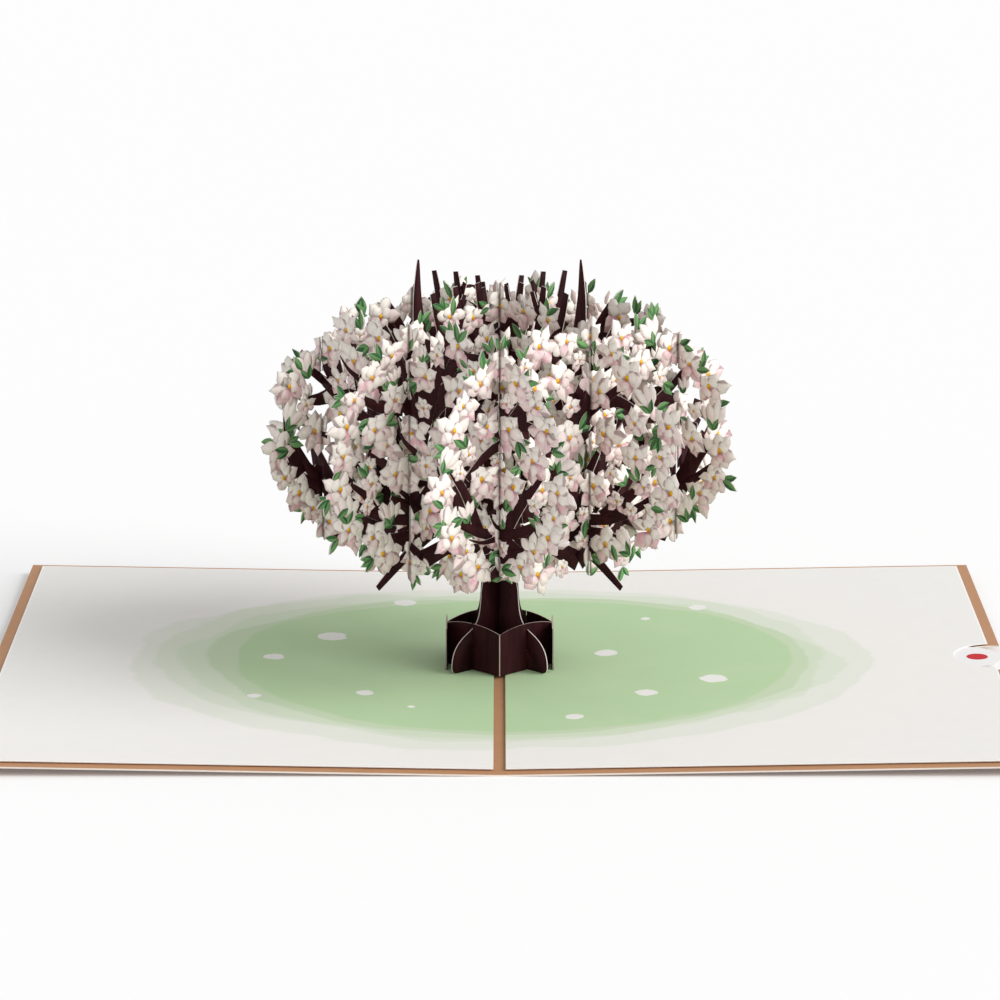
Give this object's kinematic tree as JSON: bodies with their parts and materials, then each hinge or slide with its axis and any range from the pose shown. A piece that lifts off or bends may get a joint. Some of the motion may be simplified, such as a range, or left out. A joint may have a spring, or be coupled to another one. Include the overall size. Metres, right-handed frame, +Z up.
{
  "type": "pop-up greeting card",
  "caption": "Folding card lying open, with a slotted paper tree in bloom standing on its fold and a slide-out note in the right page.",
  "frame": {"origin": "under the middle of the spine, on the surface that the card lies on", "axes": "+X across the pages towards the page with the note, +Y along the spine away from the viewer, +Z up through the tree"},
  "size_m": [0.254, 0.1778, 0.1079],
  "materials": {
    "copper_card": "copper metallic card with a fine fibre texture",
    "liner_paper": "matt off-white paper with a printed green wash",
    "tape": "white double-sided adhesive strip",
    "note_paper": "smooth white card",
    "bark_card": "matt dark maroon printed card with pale cut edges",
    "blossom_card": "matt die-cut card printed with blossoms, leaves and dark branches"
  },
  "bodies": {
    "card": {"cover": "copper_card", "liner_left": "liner_paper", "liner_right": "liner_paper", "tape_left_front": "tape", "tape_left_back": "tape", "tape_left_inner": "tape", "tape_left_outer": "tape", "tape_right_front": "tape", "tape_right_back": "tape", "tape_right_inner": "tape", "collar_front": "bark_card", "collar_back": "bark_card", "tree_sheet_a_centre": "blossom_card", "tree_sheet_a_left": "blossom_card", "tree_sheet_a_right": "blossom_card", "tree_sheet_b_centre": "blossom_card", "tree_sheet_b_left": "blossom_card", "tree_sheet_b_right": "blossom_card"},
    "note": {"note_card": "note_paper"}
  },
  "joints": [
    {"name": "note_slide", "type": "slide", "parent": "card", "child": "note", "axis": [0.9998, 0, 0.0175], "range_m": [0, 0.109]}
  ]
}
